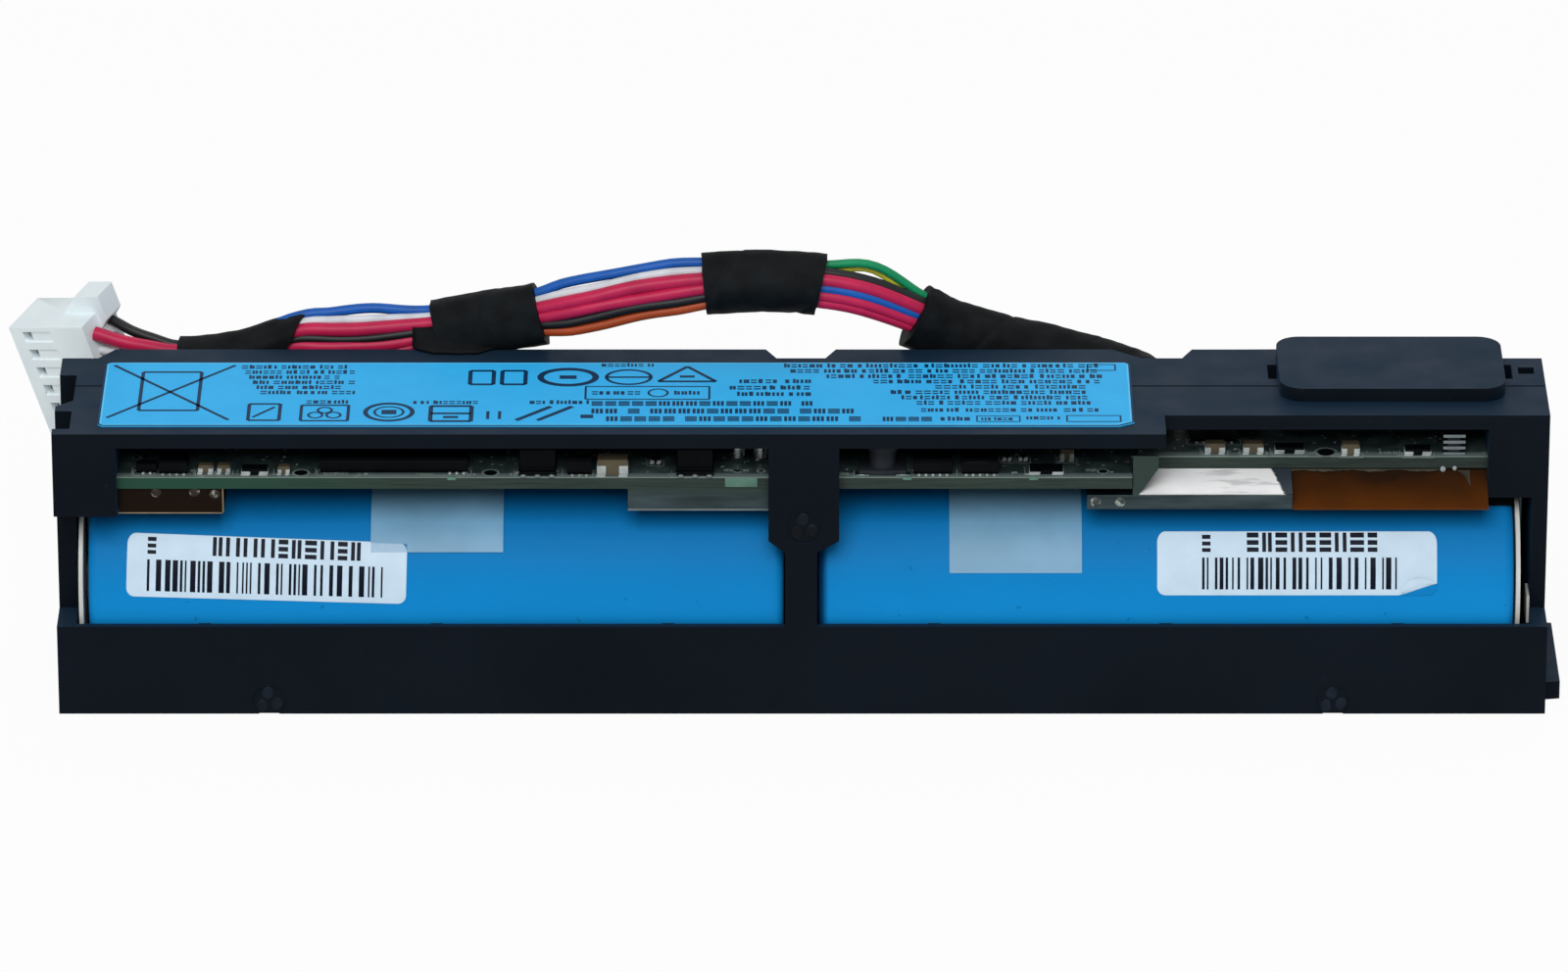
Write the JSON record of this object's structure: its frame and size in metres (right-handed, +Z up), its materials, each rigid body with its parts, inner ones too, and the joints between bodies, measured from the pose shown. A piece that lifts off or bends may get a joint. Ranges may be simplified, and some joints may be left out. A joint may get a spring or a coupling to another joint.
{
  "type": "raid battery module",
  "caption": "Long moulded frame holding cylindrical cells end to end under a circuit board, with a label face, a finger pad and a taped wire harness ending in a white connector.",
  "frame": {"origin": "middle of the underside of the frame, harness left out", "axes": "+X along the cells towards the foot and finger pad, -Y towards the cell windows, +Z up to the label face"},
  "size_m": [0.1469, 0.0318, 0.0382],
  "materials": {
    "frame_plastic": "fine-grained black moulded plastic, satin",
    "cell_steel": "drawn nickel-plated steel can",
    "sleeve_film": "blue shrink film, glossy",
    "disc_paper": "white insulating paper, matte",
    "nickel": "nickel strip, dull",
    "foil": "bright foil, lightly scratched",
    "amber_film": "amber heat-proof film, translucent look",
    "clear_tape": "clear tape over blue film",
    "sticker_film": "pale printed sticker",
    "label_film": "blue printed polyester label",
    "board": "green solder mask with a pale sawn edge",
    "chip_black": "moulded epoxy",
    "ceramic": "fired ceramic with tinned ends",
    "tinned_metal": "bright tinned metal",
    "contact_brass": "plated contact metal",
    "wire_insulation": "coloured wire insulation, one colour per circuit",
    "cloth_tape": "black woven harness tape",
    "connector_nylon": "white nylon"
  },
  "bodies": {
    "root": {"front_shell": "frame_plastic", "rear_shell": "frame_plastic", "left_cell_can": "cell_steel", "right_cell_can": "cell_steel", "left_cell_sleeve": "sleeve_film", "right_cell_sleeve": "sleeve_film", "left_end_disc": "disc_paper", "right_end_disc": "disc_paper", "left_end_tab": "nickel", "right_end_tab": "nickel", "cell_link": "nickel", "left_nickel_strip": "nickel", "right_nickel_strip": "nickel", "silver_foil": "foil", "left_film_tape": "amber_film", "right_film_tape": "amber_film", "left_clear_tape": "clear_tape", "right_clear_tape": "clear_tape", "left_cell_sticker": "sticker_film", "right_cell_sticker": "sticker_film", "end_tape": "cloth_tape", "end_pad": "disc_paper", "circuit_board": "board", "black_chips": "chip_black", "power_transistors": "chip_black", "ceramic_capacitors": "ceramic", "chip_resistors": "tinned_metal", "inductor": "chip_black", "crystal_cans": "tinned_metal", "pin_stack": "tinned_metal", "solder_joints": "tinned_metal", "rating_label": "label_film", "wires_1": "wire_insulation", "wires_2": "wire_insulation", "wires_3": "wire_insulation", "wires_4": "wire_insulation", "tape_wrap_1": "cloth_tape", "tape_wrap_2": "cloth_tape", "tape_wrap_3": "cloth_tape", "tape_wrap_4": "cloth_tape", "connector_housing": "connector_nylon", "connector_contacts": "contact_brass"}
  },
  "joints": []
}
